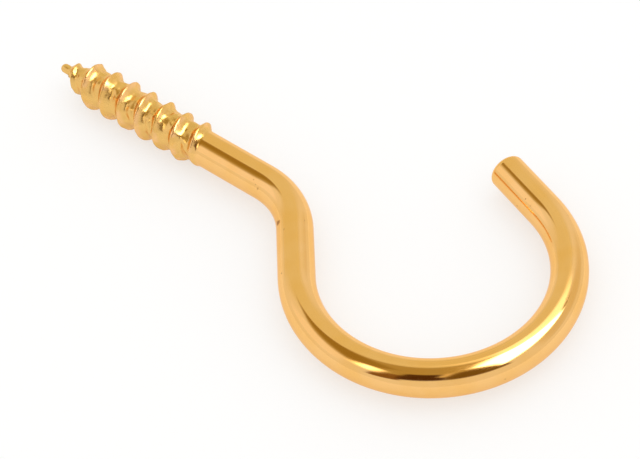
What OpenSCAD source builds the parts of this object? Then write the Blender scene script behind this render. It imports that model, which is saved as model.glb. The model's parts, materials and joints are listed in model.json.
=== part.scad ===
// Cup hook: one round brass wire, rolled into a wood-screw thread at one end and bent into an open ring.
// The ring lies flat and the screw axis runs along X, from the thread's point towards the ring.
// The origin is below the middle of the hook, on the surface that the thread's crests rest on.

/* [Wire] */
// Diameter of the wire
wire_d = 3.0; // [2:0.1:4]
// How much thinner the wire is where bending has stretched it
bend_thinning = 0.02; // [0.02:0.01:0.1]
// Radius on the edge of the wire's cut end
end_round = 0.4; // [0.1:0.1:0.9]

/* [Shank and bend] */
// Straight plain shank, from the end of the thread to the bend
shank_l = 6.0; // [3:0.5:12]
// Radius of the bend away from the screw axis, at the middle of the wire
bend_r = 7.0; // [4:0.5:12]
// Angle of the bend away from the screw axis
bend_a = 48.5; // [35:0.5:60]
// Straight leg between the bend and the ring
leg_l = 5.1; // [2:0.1:10]

/* [Ring] */
// Radius of the ring, at the middle of the wire
ring_r = 10.5; // [7:0.5:16]
// Angle that the ring turns through
ring_a = 209.5; // [190:0.5:225]
// Straight end of the wire, past the ring
tail_l = 5.4; // [2:0.1:10]

/* [Thread] */
// Turns of thread, from the foot of the pip to the shank
thread_turns = 7.75; // [5:0.25:10]
// Advance of the thread in one turn
pitch = 2.0; // [1.6:0.1:2.4]
// Height of the thread's crests above the wire's surface
crest_rise = 0.475; // [0.3:0.025:0.8]
// Depth of the thread's root below the wire's surface
root_depth = 0.05; // [0.05:0.05:0.3]
// Width of the flat along the crest
crest_w = 0.12; // [0.1:0.02:0.3]
// Length of the crest's hollow flank that faces the point
front_flank = 0.6; // [0.3:0.05:0.6]
// Length of the crest's hollow flank that faces the shank
rear_flank = 0.65; // [0.5:0.05:0.7]
// Angle round the screw axis, from +Y towards +Z, at which the crest would meet the shank
start_a = 245; // [0:5:355]
// Distance over which the crest fades out before the shank
runout_l = 1.5; // [0.5:0.1:3]

/* [Point] */
// Length of the cone at the point
cone_l = 2.7; // [1.5:0.1:4]
// Diameter of the pip left at the very point
pip_d = 0.8; // [0.5:0.1:1]
// Length of the pip
pip_l = 1.1; // [0.5:0.1:2]
// Step from the pip's surface up to the root of the cone
pip_step = 0.05; // [0.05:0.05:0.2]
// Height of the crests above the pip's surface, where the cone starts
cone_crest_rise = 0.4; // [0.1:0.05:0.4]

/* [Hidden] */
$fn = 64;

brass = [0.93, 0.72, 0.40];
wire_r = wire_d / 2;
crest_d = wire_d + 2 * crest_rise;
root_d = wire_d - 2 * root_depth;

// How far the thread reaches into the shank, and the pip into the thread, so that they are one
seat_l = 0.5;

// How far a bent stretch reaches into each straight one beside it
lap_l = 0.1;

// The thread's surface is one strip wound round the axis. A row runs along the axis for one pitch,
// at one angle, and a tick is the advance from one row to the next.
ROWS_PER_TURN = 32;
tick = pitch / ROWS_PER_TURN;
thread_ticks = round(thread_turns * ROWS_PER_TURN);
thread_l = thread_ticks * tick;
last_tick = thread_ticks + round(seat_l / tick);
row_count = last_tick + ROWS_PER_TURN;

// Route of the wire's middle line, seen from above, with the end of the thread at [0, 0]
leg_dir = [cos(bend_a), -sin(bend_a)];
bend_middle = [shank_l, -bend_r];
leg_start = bend_middle + bend_r * [sin(bend_a), cos(bend_a)];
ring_start = leg_start + leg_l * leg_dir;
ring_middle = ring_start + ring_r * [sin(bend_a), cos(bend_a)];
tail_a = ring_a - bend_a;
tail_start = ring_middle + ring_r * [sin(tail_a), -cos(tail_a)];
tail_end = tail_start + tail_l * [cos(tail_a), sin(tail_a)];

// Box of the whole hook in the same frame, which places the origin
low_x = -thread_l - pip_l;
high_x = ring_middle[0] + ring_r + wire_r;
low_y = ring_middle[1] - ring_r - wire_r;
high_y = tail_end[1] - end_round * sin(tail_a) - (wire_r - end_round) * cos(tail_a) + end_round;
axis_z = crest_d / 2;

// Ticks from the start of a row to the crest's middle, and to each point across the ridge
crest_tick = round((pitch - rear_flank + front_flank) / 2 / tick);
ridge_points = [
    -crest_w / 2 - front_flank,
    -crest_w / 2 - front_flank / 2,
    -crest_w / 2,
    crest_w / 2,
    crest_w / 2 + rear_flank / 4,
    crest_w / 2 + rear_flank / 2,
    crest_w / 2 + rear_flank
];
row_ticks = concat([0], [for (x = ridge_points) crest_tick + round(x / tick)], [ROWS_PER_TURN]);

// Share of the ridge's full height at a distance from the crest's middle
FLANK_HOLLOW = 1.6;
function ridge(x) =
    let (flank = x > 0 ? rear_flank : front_flank)
    pow(1 - min(1, max(0, (abs(x) - crest_w / 2) / flank)), FLANK_HOLLOW);

// Radius that grows along the cone at the point, at a distance from the pip's foot
function coned(start_d, full_d, from_pip) =
    (start_d + (full_d - start_d) * min(1, from_pip / cone_l)) / 2;

// Share of the crest that is left near the shank
function runout(from_pip) = sin(90 * min(1, max(0, thread_l - from_pip) / runout_l));

// Radius of the thread's surface, at a tick along the axis and a place across the ridge
function surface_r(at_tick, across) =
    let (
        from_pip = at_tick * tick,
        root = coned(pip_d + 2 * pip_step, root_d, from_pip),
        crest = coned(pip_d + 2 * cone_crest_rise, crest_d, from_pip)
    )
    root + (crest - root) * ridge(across) * runout(from_pip);

// Rows start a whole turn early and end a whole turn late, and are clipped at both end planes
function row_point(row, column) =
    let (
        at_tick = min(last_tick, max(0, row - ROWS_PER_TURN + row_ticks[column])),
        across = (at_tick - (row - ROWS_PER_TURN) - crest_tick) * tick,
        r = surface_r(at_tick, across),
        a = crest_a + 360 * (row % ROWS_PER_TURN) / ROWS_PER_TURN
    )
    [at_tick * tick - thread_l, r * cos(a), r * sin(a)];

// Angle of the first row, so that the crest reaches the shank at start_a
crest_a = start_a - 360 * (thread_ticks - crest_tick) / ROWS_PER_TURN;

thread_points = [
    for (row = [0 : row_count], column = [0 : len(row_ticks) - 1]) row_point(row, column)
];

function point_index(row, column) = row * len(row_ticks) + column;
function is_open(face) =
    let (a = thread_points[face[0]], b = thread_points[face[1]], c = thread_points[face[2]])
    a != b && b != c && c != a;

thread_faces = [
    for (row = [0 : row_count - 1], column = [0 : len(row_ticks) - 2])
        let (
            near = point_index(row, column),
            far = point_index(row, column + 1),
            next_near = point_index(row + 1, column),
            next_far = point_index(row + 1, column + 1)
        )
        for (face = [[near, far, next_near], [next_near, far, next_far]]) if (is_open(face)) face
];
point_cap = [for (row = [0 : ROWS_PER_TURN - 1]) point_index(row, 0)];
shank_cap = [for (row = [ROWS_PER_TURN : -1 : 1]) point_index(last_tick + row, len(row_ticks) - 1)];

module thread() {
    polyhedron(thread_points, concat(thread_faces, [point_cap, shank_cap]), convexity = 10);
}

// Round rod along +X from the origin, with a rounded far end
module rounded_rod(d, l, edge) {
    rotate([0, 90, 0]) rotate_extrude() {
        square([d / 2, l - edge]);
        if (edge < d / 2) square([d / 2 - edge, l]);
        intersection() {
            square([d / 2, l]);
            translate([d / 2 - edge, l - edge]) circle(edge);
        }
    }
}

module straight_wire(start, heading, l) {
    translate(start) rotate([0, 90, heading]) cylinder(d = wire_d, h = l);
}

// Arc of wire in the flat, anticlockwise round its middle, with a lap at each end
module bent_wire(middle, r, from_a, turn_a) {
    lap_a = asin(lap_l / r);
    translate(middle) rotate([0, 0, from_a - lap_a])
        rotate_extrude(angle = turn_a + 2 * lap_a) translate([r, 0]) circle(d = wire_d - bend_thinning);
}

module pip() {
    translate([seat_l - thread_l, 0, 0]) rotate([0, 0, 180])
        rounded_rod(pip_d, pip_l + seat_l, pip_d / 2);
}

module hook_wire() {
    straight_wire([0, 0], 0, shank_l);
    bent_wire(bend_middle, bend_r, 90 - bend_a, bend_a);
    straight_wire(leg_start, -bend_a, leg_l);
    bent_wire(ring_middle, ring_r, 270 - bend_a, ring_a);
    translate(tail_start) rotate([0, 0, tail_a]) rounded_rod(wire_d, tail_l, end_round);
}

module cup_hook() {
    color(brass) translate([-(low_x + high_x) / 2, -(low_y + high_y) / 2, axis_z]) {
        hook_wire();
        thread();
        pip();
    }
}

cup_hook();
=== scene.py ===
import json
import math

import bpy
from mathutils import Matrix, Vector, kdtree, noise


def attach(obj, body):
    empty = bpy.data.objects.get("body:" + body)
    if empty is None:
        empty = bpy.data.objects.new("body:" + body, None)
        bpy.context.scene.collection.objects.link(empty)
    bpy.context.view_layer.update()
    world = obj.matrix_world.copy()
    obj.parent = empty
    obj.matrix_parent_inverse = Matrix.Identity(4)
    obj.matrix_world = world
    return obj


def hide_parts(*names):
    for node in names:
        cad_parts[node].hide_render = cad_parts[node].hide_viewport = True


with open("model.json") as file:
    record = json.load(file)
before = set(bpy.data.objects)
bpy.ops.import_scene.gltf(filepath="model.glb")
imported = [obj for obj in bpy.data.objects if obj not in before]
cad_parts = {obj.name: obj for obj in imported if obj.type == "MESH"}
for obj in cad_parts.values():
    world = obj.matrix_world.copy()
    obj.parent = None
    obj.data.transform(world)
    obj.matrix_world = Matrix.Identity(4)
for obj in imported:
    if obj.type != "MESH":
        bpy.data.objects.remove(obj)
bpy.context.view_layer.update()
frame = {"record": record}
mounts = {m["name"]: m for m in frame["record"]["mounts"]}
mm = 0.001
scene = bpy.context.scene


def objectMode():
    if bpy.context.object and bpy.context.object.mode != "OBJECT":
        bpy.ops.object.mode_set(mode="OBJECT")


def nothingSelected():
    objectMode()
    bpy.ops.object.select_all(action="DESELECT")


def editMode(kind="VERT"):
    bpy.ops.object.mode_set(mode="EDIT")
    bpy.ops.mesh.select_mode(type=kind)


def smoothStep(low, high, value):
    t = min(1.0, max(0.0, (value - low) / (high - low)))
    return t * t * (3 - 2 * t)


def direction(azimuth, elevation):
    a, e = math.radians(azimuth), math.radians(elevation)
    return Vector((math.cos(a) * math.cos(e), math.sin(a) * math.cos(e), math.sin(e)))


# the wood-screw thread, rolled into the first end of the wire
thread = {
    "pitch": 2.0,
    "length": 15.5,
    "crest": 1.966,  # radius over the crests
    "root": 1.45,
    "crestWidth": 0.08,
    "frontFlank": 0.6,  # towards the point
    "rearFlank": 0.65,
    "hollow": 1.6,
    "profile": [-1.0, -0.88, -0.76, -0.64, -0.54, -0.45, -0.35, -0.25, -0.16, -0.08, 0.0,
                0.08, 0.16, 0.26, 0.37, 0.49, 0.62, 0.75, 0.88, 1.0],
    "sides": 64,
    "runOut": 1.5,
    "cone": 2.7,
    "pip": 0.4,
    "pipLength": 1.1,
    "pipStep": 0.05,
    "coneCrest": 0.42,
    "startAngle": 245,  # where the crest would meet the shank, from +Y towards +Z
    "lump": 0.2,
    "lumpSize": 0.9,
    "dent": 0.07,
    "dentSize": 0.45,
    "lumpStart": (0.2, 1.2),  # from the shank, where lumps begin and where they are full
    "crestLumps": 0.4,  # share of the lumps that is left on the crests
    "merge": 0.05,
    "exact": 0.001,
    "pipCut": 0.01,  # taken off the pip's end, where the mesh would be a point
}

# the plain wire, bent twice
wire = {
    "radius": 1.485,
    "shank": 6.0,
    "bendRadius": 7.0,
    "bendAngle": 48.5,
    "leg": 5.1,
    "ringRadius": 10.5,
    "ringAngle": 209.5,
    "tail": 5.4,
    "step": 0.45,
    "endRound": 0.4,
    "endSegments": 5,
}

shoulder = Vector(mounts["screw_thread"]["pos_m"])


def ridgeShare(x):
    flank = thread["rearFlank"] if x > 0 else thread["frontFlank"]
    out = min(1.0, max(0.0, (abs(x) - thread["crestWidth"] / 2) / flank))
    return (1 - out) ** thread["hollow"]


def threadRadius(x, share):
    fromPip = x + thread["length"]
    if fromPip < 0:
        toEnd = max(0.0, fromPip + thread["pipLength"])
        if toEnd > thread["pip"]:
            return thread["pip"]
        return math.sqrt(max(1e-6, thread["pip"] ** 2 - (thread["pip"] - toEnd) ** 2))
    grown = min(1.0, fromPip / thread["cone"])
    rootFoot = thread["pip"] + thread["pipStep"]
    crestFoot = thread["pip"] + thread["coneCrest"]
    root = rootFoot + (thread["root"] - rootFoot) * grown
    root += (wire["radius"] - root) * smoothStep(-1.0, -0.1, x)
    crest = crestFoot + (thread["crest"] - crestFoot) * grown
    fade = math.sin(math.pi / 2 * min(1.0, max(0.0, -x) / thread["runOut"]))
    return root + max(0.0, crest - root) * share * fade


def rollThread():
    nothingSelected()
    bpy.ops.mesh.primitive_plane_add(size=mm, location=shoulder)
    hook = bpy.context.object
    hook.name = hook.data.name = "brassWireHook"
    editMode()
    bpy.ops.mesh.select_all(action="SELECT")
    bpy.ops.mesh.merge(type="CENTER")  # one point on the screw axis, moved out and drawn along
    rise = thread["crest"] - thread["root"]
    turnsAhead = math.ceil((thread["length"] + thread["pipLength"]) / thread["pitch"]) + 1
    drawnAngle = 270  # the profile is drawn straight down from the axis
    start = thread["pitch"] * ((drawnAngle - thread["startAngle"]) / 360 - turnsAhead)
    places = [(x + start, thread["root"] + rise * ridgeShare(x)) for x in thread["profile"]]
    last = (0.0, 0.0)
    for count, (x, r) in enumerate(places):
        move = ((x - last[0]) * mm, 0, -(r - last[1]) * mm)
        if count == 0:
            bpy.ops.transform.translate(value=move)
        else:
            bpy.ops.mesh.extrude_region_move(TRANSFORM_OT_translate={"value": move})
        last = (x, r)
    objectMode()
    bpy.ops.object.modifier_add(type="SCREW")
    screw = hook.modifiers[-1]
    screw.axis = "X"
    screw.angle = math.tau
    screw.screw_offset = thread["pitch"] * mm
    screw.iterations = turnsAhead + 2
    screw.steps = screw.render_steps = thread["sides"]
    screw.use_smooth_shade = True
    bpy.ops.object.modifier_apply(modifier=screw.name)
    for v in hook.data.vertices:
        x, y, z = v.co / mm
        r = math.hypot(y, z)
        share = (r - thread["root"]) / rise
        fade = smoothStep(*thread["lumpStart"], -x)
        at = Vector((x, y, z))
        lump = noise.noise(at / thread["lumpSize"]) * thread["lump"]
        lump += noise.noise(at / thread["dentSize"]) * thread["dent"]
        wanted = threadRadius(x, min(1.0, max(0.0, share)))
        if x > -thread["length"]:
            wanted = min(thread["crest"], wanted + lump * fade * (1 - (1 - thread["crestLumps"]) * share))
        v.co.y, v.co.z = y * wanted / r * mm, z * wanted / r * mm
    bpy.ops.object.transform_apply(location=True, rotation=False, scale=False)
    editMode()
    bpy.ops.mesh.select_all(action="SELECT")
    bpy.ops.mesh.remove_doubles(threshold=thread["exact"] * mm)
    pipEnd = -thread["length"] - thread["pipLength"] + thread["pipCut"]
    for end, keepAbove in ((pipEnd, True), (0.0, False)):
        bpy.ops.mesh.select_all(action="SELECT")
        bpy.ops.mesh.bisect(
            plane_co=shoulder + Vector((end * mm, 0, 0)), plane_no=(1, 0, 0), use_fill=keepAbove,
            clear_inner=keepAbove, clear_outer=not keepAbove, threshold=thread["exact"] * mm)
    bpy.ops.mesh.remove_doubles(threshold=thread["merge"] * mm)
    bpy.ops.mesh.select_mode(type="EDGE")
    bpy.ops.mesh.select_all(action="DESELECT")
    bpy.ops.mesh.select_non_manifold()  # the open end, where the shank starts
    return hook


def bendWire(hook):
    w = wire

    def draw(length, heading):
        steps = max(1, round(length / w["step"]))
        move = heading * (length / steps * mm)
        for k in range(steps):
            bpy.ops.mesh.extrude_region_move(TRANSFORM_OT_translate={"value": move})

    def turn(middle, radius, angle):
        steps = round(abs(math.radians(angle)) * radius / w["step"])
        bpy.ops.mesh.spin(steps=steps, angle=-math.radians(angle), center=middle, axis=(0, 0, 1))

    heading = Vector((1, 0, 0))
    left = Vector((0, 1, 0))
    draw(w["shank"], heading)
    at = shoulder + heading * w["shank"] * mm
    turn(at - left * w["bendRadius"] * mm, w["bendRadius"], -w["bendAngle"])
    legTurn = Matrix.Rotation(math.radians(-w["bendAngle"]), 3, "Z")
    at = at - left * w["bendRadius"] * mm + legTurn @ left * w["bendRadius"] * mm
    heading, left = legTurn @ heading, legTurn @ left
    draw(w["leg"], heading)
    at = at + heading * w["leg"] * mm + left * w["ringRadius"] * mm
    turn(at, w["ringRadius"], w["ringAngle"])
    ringTurn = Matrix.Rotation(math.radians(w["ringAngle"]), 3, "Z")
    at = at - ringTurn @ left * w["ringRadius"] * mm
    heading = ringTurn @ heading
    draw(w["tail"], heading)
    bpy.ops.mesh.edge_face_add()
    bpy.ops.mesh.select_mode(type="FACE")
    bpy.ops.mesh.bevel(offset=w["endRound"] * mm, segments=w["endSegments"], profile=0.5, affect="EDGES")
    bpy.ops.mesh.select_all(action="SELECT")
    bpy.ops.mesh.normals_make_consistent(inside=False)
    objectMode()
    bpy.ops.object.shade_smooth()


hook = rollThread()
print("thread rolled,", len(hook.data.vertices), "points")
bendWire(hook)
print("wire bent,", len(hook.data.polygons), "faces")

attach(hook, "root")
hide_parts("cup_hook")

metal = {
    "colour": (0.92, 0.545, 0.2),
    "deeper": (0.9, 0.51, 0.155),
    "rolled": (0.9, 0.53, 0.22),  # blotches on the thread
    "rolledDeep": (0.83, 0.49, 0.14),
    "blotchScale": 0.9,
    # painted shade: a darker brass colour laid into the thread's grooves to darken the recesses
    "grooveShadeColour": (0.81, 0.495, 0.15),
    "stain": (0.22, 0.06, 0.01),
    "edgeTint": (1.0, 0.86, 0.7),
    "wireRoughness": (0.06, 0.13),
    "threadRoughness": 0.24,
    "cloudScale": 0.3,  # all scales here are per mm
    "lineStretch": (0.1, 4.0, 4.0),
    "lineDepth": 0.0006,  # and all depths in mm
    "rippleScale": 0.28,
    "rippleDepth": 0.012,
    "lumpScale": 1.5,
    "lumpDepth": 0.04,
    "pitScale": 1.6,
    "pitSize": 0.07,
    "pitDepth": 0.01,
    "pitStain": 0.5,
    "wobbleScale": 3.0,  # ragged edges of the marks
    "marks": [
        # mm along the wire, to its left and up, then the radius and how dark it is
        (11.76, -1.29, 0.77, 0.34, 0.75),
        (11.45, -1.36, 0.6, 0.2, 0.45),
        (13.0, -0.79, 1.27, 0.13, 0.3),
        (5.9, -0.99, 1.12, 0.12, 0.35),
        (6.3, -1.18, 0.92, 0.09, 0.35),
        (6.7, -1.29, 0.77, 0.16, 0.4),
        (45.0, -0.5, 1.41, 0.16, 0.35),
        (55.7, 1.11, 1.0, 0.1, 0.2),
    ],
}


def wirePlaces(piece):
    w = wire
    samples = []
    threadSpan, tailSpan, sampleStep = thread["length"] + 3, w["tail"] + 1, 0.1
    stretches = [
        # length, or else radius and angle
        (threadSpan, 0, 0),
        (w["shank"], 0, 0),
        (0, w["bendRadius"], -w["bendAngle"]),
        (w["leg"], 0, 0),
        (0, w["ringRadius"], w["ringAngle"]),
        (tailSpan, 0, 0),
    ]
    heading = Vector((1, 0, 0))
    at, along = shoulder / mm - heading * threadSpan, -threadSpan
    for length, radius, angle in stretches:
        turned = math.radians(angle)
        length = length or abs(turned) * radius
        steps = round(length / sampleStep)
        for k in range(steps):
            samples.append((along, at.copy(), heading.copy()))
            half = Matrix.Rotation(turned / steps / 2, 3, "Z")
            heading = half @ heading
            at = at + heading * length / steps
            heading = half @ heading
            along += length / steps
    tree = kdtree.KDTree(len(samples))
    for k, sample in enumerate(samples):
        tree.insert(sample[1], k)
    tree.balance()
    places = []
    for v in piece.data.vertices:
        co = v.co / mm
        k = tree.find(co)[1]
        along, at, heading = samples[k]
        off = co - at
        left = Vector((-heading.y, heading.x, 0))
        places.extend((along + off.dot(heading), off.dot(left), off.z))
    attribute = piece.data.attributes.new("wirePlace", "FLOAT_VECTOR", "POINT")
    attribute.data.foreach_set("vector", places)


wirePlaces(hook)
print("places along the wire stored")


def buildBrass():
    brass = bpy.data.materials.new("polishedBrass")
    brass.use_nodes = True
    tree = brass.node_tree
    shader = tree.nodes["Principled BSDF"]

    def put(kind, inputs=(), **settings):
        node = tree.nodes.new("ShaderNode" + kind)
        for key, value in settings.items():
            setattr(node, key, value)
        for socket, value in dict(inputs).items():
            if isinstance(value, bpy.types.NodeSocket):
                tree.links.new(value, node.inputs[socket])
            else:
                node.inputs[socket].default_value = value
        return node

    def calc(operation, a, b=0.0):
        return put("Math", {0: a, 1: b}, operation=operation).outputs[0]

    def ramp(value, fromMin, fromMax, toMin=0.0, toMax=1.0):
        return put("MapRange", {"Value": value, "From Min": fromMin, "From Max": fromMax, "To Min": toMin,
                                "To Max": toMax}, interpolation_type="SMOOTHSTEP").outputs[0]

    def mixed(factor, a, b):
        a, b = (v if isinstance(v, bpy.types.NodeSocket) else (*v, 1) for v in (a, b))
        node = put("Mix", {"Factor": factor}, data_type="RGBA")
        for socket, value in ((node.inputs[6], a), (node.inputs[7], b)):
            if isinstance(value, bpy.types.NodeSocket):
                tree.links.new(value, socket)
            else:
                socket.default_value = value
        return node.outputs[2]

    m = metal
    place = put("Attribute", attribute_name="wirePlace").outputs["Vector"]
    inMetres = put("TexCoord").outputs["Object"]
    inMm = put("VectorMath", {0: inMetres, "Scale": 1 / mm}, operation="SCALE").outputs[0]
    split = put("SeparateXYZ", {0: place})
    flat = put("CombineXYZ", {1: split.outputs[1], 2: split.outputs[2]}).outputs[0]
    fromAxis = put("VectorMath", {0: flat}, operation="LENGTH").outputs["Value"]
    onThread = ramp(split.outputs[0], 0.1, -0.7)
    # painted shade mask: grows from the crests towards the thread's root, on the thread only
    grooveShadeMask = calc("MULTIPLY", ramp(fromAxis, 1.85, 1.5), onThread)

    clouds = put("TexNoise", {"Vector": inMm, "Scale": m["cloudScale"], "Detail": 3}).outputs["Fac"]
    lines = put("TexNoise", {"Vector": put("Mapping", {0: place, "Scale": m["lineStretch"]}).outputs[0],
                             "Scale": 1.0, "Detail": 2}).outputs["Fac"]
    ripple = put("TexNoise", {"Vector": inMm, "Scale": m["rippleScale"], "Detail": 1}).outputs["Fac"]
    lumps = put("TexNoise", {"Vector": inMm, "Scale": m["lumpScale"], "Detail": 2}).outputs["Fac"]
    cells = put("TexVoronoi", {"Vector": inMm, "Scale": m["pitScale"]})
    rare = put("SeparateColor", {0: cells.outputs["Color"]}).outputs[0]
    pits = ramp(cells.outputs["Distance"], m["pitSize"] * 2, m["pitSize"])
    pits = calc("MULTIPLY", pits, ramp(rare, 0.9, 0.93))
    pits = calc("MULTIPLY", pits, calc("SUBTRACT", 1, onThread))

    stains = calc("MULTIPLY", pits, m["pitStain"])
    wobble = put("TexNoise", {"Vector": inMm, "Scale": m["wobbleScale"], "Detail": 2}).outputs["Fac"]
    for along, left, up, radius, dark in m["marks"]:
        gap = put("VectorMath", {0: place, 1: (along, left, up)}, operation="DISTANCE").outputs["Value"]
        near = ramp(calc("ADD", gap, calc("MULTIPLY", calc("SUBTRACT", wobble, 0.5), radius * 2)),
                    radius, radius * 0.3, 0, dark)
        stains = calc("MAXIMUM", stains, near)

    colour = mixed(ramp(clouds, 0.35, 0.7), m["colour"], m["deeper"])
    blotches = put("TexNoise", {"Vector": inMm, "Scale": m["blotchScale"], "Detail": 3}).outputs["Fac"]
    colour = mixed(onThread, colour, mixed(ramp(blotches, 0.42, 0.6), m["rolled"], m["rolledDeep"]))
    # painted shade darkens the thread's grooves towards the root
    colour = mixed(grooveShadeMask, colour, m["grooveShadeColour"])
    colour = mixed(stains, colour, m["stain"])
    tree.links.new(colour, shader.inputs["Base Color"])
    low, high = m["wireRoughness"]
    uneven = calc("ADD", calc("MULTIPLY", clouds, 0.6), calc("MULTIPLY", lines, 0.4))
    rough = ramp(uneven, 0.3, 0.7, low, high)
    rough = calc("ADD", rough, calc("MULTIPLY", onThread, m["threadRoughness"] - low))
    rough = calc("ADD", rough, calc("MULTIPLY", stains, 0.3))
    tree.links.new(rough, shader.inputs["Roughness"])
    height = calc("MULTIPLY", lines, m["lineDepth"] * mm)
    height = calc("ADD", height, calc("MULTIPLY", ripple, m["rippleDepth"] * mm))
    height = calc("ADD", height, calc("MULTIPLY", calc("MULTIPLY", lumps, onThread), m["lumpDepth"] * mm))
    height = calc("SUBTRACT", height, calc("MULTIPLY", pits, m["pitDepth"] * mm))
    bump = put("Bump", {"Height": height, "Distance": 1.0, "Strength": 1.0})
    tree.links.new(bump.outputs[0], shader.inputs["Normal"])
    shader.inputs["Metallic"].default_value = 1
    shader.inputs["Specular Tint"].default_value = (*m["edgeTint"], 1)
    return brass


hook.data.materials.clear()
hook.data.materials.append(buildBrass())
print("brass finished")

studio = {
    "floorSize": 4.0,
    "floorColour": (0.38, 0.38, 0.38),
    "floorGlow": (1, 0.995, 0.985),  # thins the shadow
    "floorGlowStrength": 0.58,
    "wall": (0.92, 0.92, 0.92),
    "diffuseLight": (1.05, 1.05, 1.05),  # what all but glossy rays meet
    "ceiling": (0.49, 0.39, 0.15),
    "ceilingMiddle": (-112, 78),  # azimuth and elevation
    "ceilingEdge": (39.5, 34),  # degrees from its middle, where it starts and where it is full
    "cardDistance": 1.0,
    "cardGrid": 10,
    "cards": [
        # name, four corners as azimuth and elevation, colour, strength, soft edges, nearness
        ("goldWall", ((100, 66), (178, 66), (195, 5), (95, 0)), (0.84, 0.81, 0.6), 1.0, (0.5, 0.4), 1.0),
        ("warmWall", ((15, 46), (95, 46), (95, 8), (15, 8)), (0.8, 0.74, 0.58), 1.0, (0.6, 0.6), 1.01),
        ("brightWall", ((-168, 48), (-108, 48), (-108, 8), (-168, 8)), (1.05, 1.03, 1.1), 1.0,
         (0.5, 0.6), 1.02),
        ("ceilingRim", ((158, 72), (-108, 80), (-110, 43), (170, 43)), (0.36, 0.25, 0.05), 1.0,
         (0.25, 0.45), 0.995),
        ("brownCard", ((-97, 52), (-72, 58), (-72, 24), (-97, 15)), (0.25, 0.13, 0.03), 1.0,
         (0.4, 0.35), 0.99),
        ("darkCard", ((-82, 71), (-38, 73), (-42, 35), (-80, 27)), (0.08, 0.028, 0.0), 1.0,
         (0.25, 0.4), 0.98),
        ("halfDarkCard", ((-44, 70), (0, 72), (1, 26), (-46, 35)), (0.18, 0.105, 0.01), 1.0,
         (0.15, 0.3), 0.97),
        ("lightStrip", ((-12, 75), (-40, 76), (-52, 52), (-42, 50)), (0.95, 0.8, 0.5), 1.0, (0.9, 0.4), 0.96),
        ("mainSoftbox", ((112, 69), (5, 77), (-6, 39), (62, 40)), (1, 1, 1), 6.5, (0.25, 0.3), 0.94),
        ("farSoftbox", ((133, 51), (112, 71), (50, 46), (92, 46)), (1, 0.98, 0.9), 1.8, (0.5, 0.35), 0.95),
        ("dullSpot", ((76, 49), (60, 51), (57, 42), (73, 41)), (0.4, 0.34, 0.12), 1.0, (0.8, 0.8), 0.93),
        ("sideGlint", ((-122, 66), (-90, 65), (-88, 33), (-118, 34)), (1, 0.95, 0.8), 3.0, (0.9, 0.75), 0.92),
    ],
}

bpy.ops.mesh.primitive_plane_add(size=studio["floorSize"])
floor = bpy.context.object
floor.name = "floor"
floorPaint = bpy.data.materials.new("paleFloor")
floorPaint.use_nodes = True
floorShader = floorPaint.node_tree.nodes["Principled BSDF"]
floorShader.inputs["Roughness"].default_value = 0.9
floorShader.inputs["Base Color"].default_value = (*studio["floorColour"], 1)
floorShader.inputs["Emission Color"].default_value = (*studio["floorGlow"], 1)
floorShader.inputs["Emission Strength"].default_value = studio["floorGlowStrength"]
floor.data.materials.append(floorPaint)


def addCard(name, corners, colour, strength, edges, nearness):
    nothingSelected()
    grid = studio["cardGrid"]
    bpy.ops.mesh.primitive_grid_add(x_subdivisions=grid, y_subdivisions=grid, size=2)
    card = bpy.context.object
    card.name = name
    topLeft, topRight, lowRight, lowLeft = (direction(*corner) for corner in corners)
    for v in card.data.vertices:
        across, up = (v.co.x + 1) / 2, (v.co.y + 1) / 2
        top, low = topLeft.lerp(topRight, across), lowLeft.lerp(lowRight, across)
        v.co = low.lerp(top, up).normalized() * studio["cardDistance"] * nearness
    card.visible_camera = card.visible_shadow = card.visible_diffuse = False
    paint = bpy.data.materials.new(name + "Paint")
    paint.use_nodes = True
    nodes, links = paint.node_tree.nodes, paint.node_tree.links
    nodes.clear()
    place = nodes.new("ShaderNodeTexCoord")
    split = nodes.new("ShaderNodeSeparateXYZ")
    links.new(place.outputs["UV"], split.inputs[0])
    masks = []
    for axis, edge in zip("XY", edges):
        size = nodes.new("ShaderNodeMath")
        size.operation = "PINGPONG"  # 0 at both sides of the card, 0.5 in its middle
        size.inputs[1].default_value = 0.5
        links.new(split.outputs[axis], size.inputs[0])
        fade = nodes.new("ShaderNodeMapRange")
        fade.interpolation_type = "SMOOTHSTEP"
        fade.inputs["From Min"].default_value = 0
        fade.inputs["From Max"].default_value = edge / 2
        links.new(size.outputs[0], fade.inputs["Value"])
        masks.append(fade)
    both = nodes.new("ShaderNodeMath")
    both.operation = "MULTIPLY"
    links.new(masks[0].outputs[0], both.inputs[0])
    links.new(masks[1].outputs[0], both.inputs[1])
    glow = nodes.new("ShaderNodeEmission")
    glow.inputs["Color"].default_value = (*colour, 1)
    glow.inputs["Strength"].default_value = strength
    clear = nodes.new("ShaderNodeBsdfTransparent")
    mix = nodes.new("ShaderNodeMixShader")
    out = nodes.new("ShaderNodeOutputMaterial")
    links.new(both.outputs[0], mix.inputs[0])
    links.new(clear.outputs[0], mix.inputs[1])
    links.new(glow.outputs[0], mix.inputs[2])
    links.new(mix.outputs[0], out.inputs[0])
    card.data.materials.append(paint)


for card in studio["cards"]:
    addCard(*card)

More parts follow.
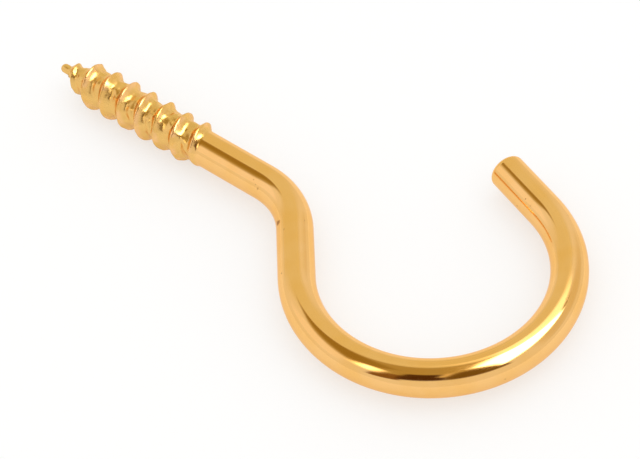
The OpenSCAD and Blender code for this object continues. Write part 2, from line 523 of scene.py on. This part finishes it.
world = bpy.data.worlds.new("studio")
scene.world = world
world.use_nodes = True
nodes, links = world.node_tree.nodes, world.node_tree.links
nodes.clear()
place = nodes.new("ShaderNodeTexCoord")
lean = nodes.new("ShaderNodeVectorMath")
lean.operation = "DOT_PRODUCT"
lean.inputs[1].default_value = direction(*studio["ceilingMiddle"])
height = nodes.new("ShaderNodeMapRange")
height.interpolation_type = "SMOOTHSTEP"
height.inputs["From Min"].default_value = math.cos(math.radians(studio["ceilingEdge"][0]))
height.inputs["From Max"].default_value = math.cos(math.radians(studio["ceilingEdge"][1]))
shades = nodes.new("ShaderNodeMix")
shades.data_type = "RGBA"
shades.inputs["A"].default_value = (*studio["wall"], 1)
shades.inputs["B"].default_value = (*studio["ceiling"], 1)
path = nodes.new("ShaderNodeLightPath")
pick = nodes.new("ShaderNodeMix")
pick.data_type = "RGBA"
pick.inputs["A"].default_value = (*studio["diffuseLight"], 1)
back = nodes.new("ShaderNodeBackground")
out = nodes.new("ShaderNodeOutputWorld")
links.new(place.outputs["Generated"], lean.inputs[0])
links.new(lean.outputs["Value"], height.inputs["Value"])
links.new(height.outputs[0], shades.inputs["Factor"])
links.new(shades.outputs["Result"], pick.inputs["B"])
links.new(path.outputs["Is Glossy Ray"], pick.inputs["Factor"])
links.new(pick.outputs["Result"], back.inputs["Color"])
links.new(back.outputs[0], out.inputs[0])
print("studio lit")

seen = {
    "azimuth": -45.983,  # from the aim to the camera
    "elevation": 48.877,
    "roll": -6.017,
    "distance": 169.58,
    "aim": (3.938, -2.508, 1.975),
    "lens": 121.3,
}
bpy.ops.object.camera_add()
camera = bpy.context.object
camera.name = "camera"
toCamera = direction(seen["azimuth"], seen["elevation"])
camera.location = Vector(seen["aim"]) * mm + toCamera * seen["distance"] * mm
level = toCamera.to_track_quat("Z", "Y").to_matrix()
camera.rotation_euler = (level @ Matrix.Rotation(math.radians(seen["roll"]), 3, "Z")).to_euler()
camera.data.lens = seen["lens"]
camera.data.clip_start = 0.01
scene.camera = camera
scene.view_settings.view_transform = "Standard"
